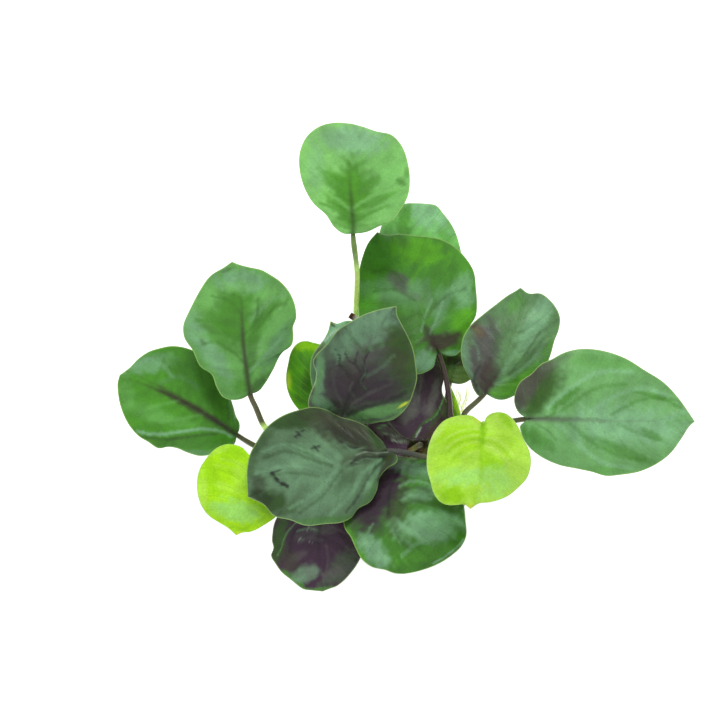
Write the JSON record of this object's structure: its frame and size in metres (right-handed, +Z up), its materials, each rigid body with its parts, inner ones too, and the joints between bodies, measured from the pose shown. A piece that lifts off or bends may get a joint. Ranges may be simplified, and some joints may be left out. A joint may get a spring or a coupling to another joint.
{
  "type": "aquarium plant",
  "caption": "Round-leaved water plant whose creeping stem is rooted onto a dark rounded stone, to stand on the floor of an aquarium.",
  "frame": {"origin": "Middle of the stone's flat underside, on the surface that it stands on.", "axes": "+Z up. The front, which the reference view looks at from above, is -Y. +X is to the right seen from the front, and the stone and the rhizome run along X."},
  "size_m": [0.2326, 0.1896, 0.0971],
  "materials": {
    "leaf_fresh": "waxy, satin, fresh green",
    "leaf_young": "waxy, satin, bright yellow-green",
    "leaf_mature": "waxy, glossy, mid green",
    "leaf_dark": "waxy, glossy, dark green",
    "leaf_purple": "waxy, glossy, dark purple-brown",
    "stalk_brown": "smooth, satin, olive brown",
    "stalk_green": "smooth, satin, yellow-green",
    "stalk_purple": "smooth, satin, purple-brown",
    "stalk_stub": "dry, cut end",
    "rhizome": "ringed with leaf scars, matt",
    "root": "fine, fibrous, matt",
    "stone": "rough, matt, dark grey"
  },
  "bodies": {
    "root": {"leaf_tall_back": "leaf_fresh", "stalk_tall_back": "stalk_green", "leaf_back_right": "leaf_mature", "stalk_back_right": "stalk_brown", "leaf_centre_top": "leaf_mature", "stalk_centre_top": "stalk_purple", "leaf_middle": "leaf_dark", "stalk_middle": "stalk_brown", "leaf_behind_middle": "leaf_mature", "stalk_behind_middle": "stalk_brown", "leaf_young_middle": "leaf_young", "stalk_young_middle": "stalk_green", "leaf_upper_left": "leaf_fresh", "stalk_upper_left": "stalk_brown", "leaf_far_left": "leaf_fresh", "stalk_far_left": "stalk_brown", "leaf_front_left": "leaf_dark", "stalk_front_left": "stalk_brown", "leaf_young_lower_left": "leaf_young", "stalk_young_lower_left": "stalk_green", "leaf_bottom": "leaf_purple", "stalk_bottom": "stalk_brown", "leaf_bottom_right": "leaf_dark", "stalk_bottom_right": "stalk_brown", "leaf_young_right": "leaf_young", "stalk_young_right": "stalk_green", "leaf_right_middle": "leaf_dark", "stalk_right_middle": "stalk_brown", "leaf_far_right": "leaf_fresh", "stalk_far_right": "stalk_brown", "leaf_inner_right": "leaf_mature", "stalk_inner_right": "stalk_brown", "leaf_inner_centre": "leaf_purple", "stalk_inner_centre": "stalk_brown", "leaf_inner_front": "leaf_purple", "stalk_inner_front": "stalk_brown", "leaf_rolled_young": "leaf_young", "stalk_stub": "stalk_stub", "rhizome": "rhizome", "root_01": "root", "root_02": "root", "root_03": "root", "root_04": "root", "root_05": "root", "root_06": "root", "root_07": "root", "root_08": "root", "root_09": "root", "root_free_1": "root", "root_free_2": "root", "stone": "stone"}
  },
  "joints": []
}
